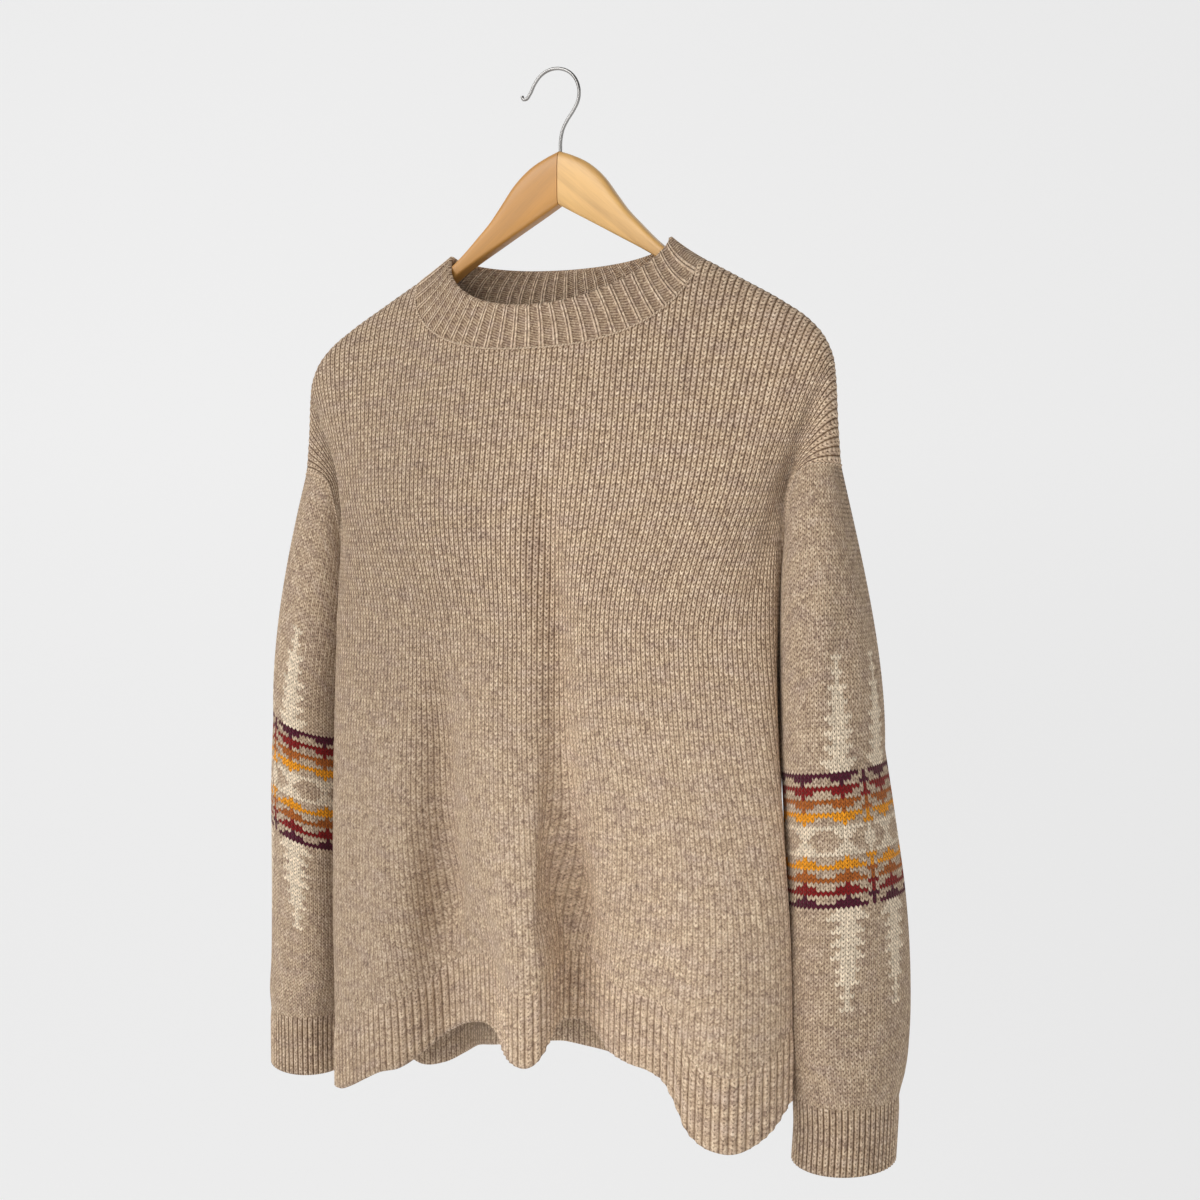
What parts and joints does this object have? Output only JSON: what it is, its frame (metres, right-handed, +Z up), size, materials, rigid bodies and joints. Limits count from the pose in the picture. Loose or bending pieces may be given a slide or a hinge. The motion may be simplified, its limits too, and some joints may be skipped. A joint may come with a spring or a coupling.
{
  "type": "jacquard sweater on a wooden hanger",
  "caption": "Chunky knitted crew-neck sweater with ribbed collar, hem and cuffs and a patterned sleeve band, hanging on a contoured wooden hanger with a wire hook.",
  "frame": {"origin": "the bearing point at the top of the inside of the hanger's hook", "axes": "+Z up, +X to the right of someone facing the front, the front of the sweater faces -Y"},
  "size_m": [0.5875, 0.164, 0.869],
  "materials": {
    "knit": "oatmeal melange wool, stocking stitch",
    "rib": "oatmeal melange wool, ribbed",
    "wood": "clear satin varnish on pale pine",
    "wire": "bright wire"
  },
  "bodies": {
    "root": {"front": "knit", "back": "knit", "sleeve_left": "knit", "sleeve_right": "knit", "collar": "rib", "hem_front": "rib", "hem_back": "rib", "cuff_left": "rib", "cuff_right": "rib", "hanger_arm_left": "wood", "hanger_arm_right": "wood", "hanger_hook": "wire"}
  },
  "joints": []
}
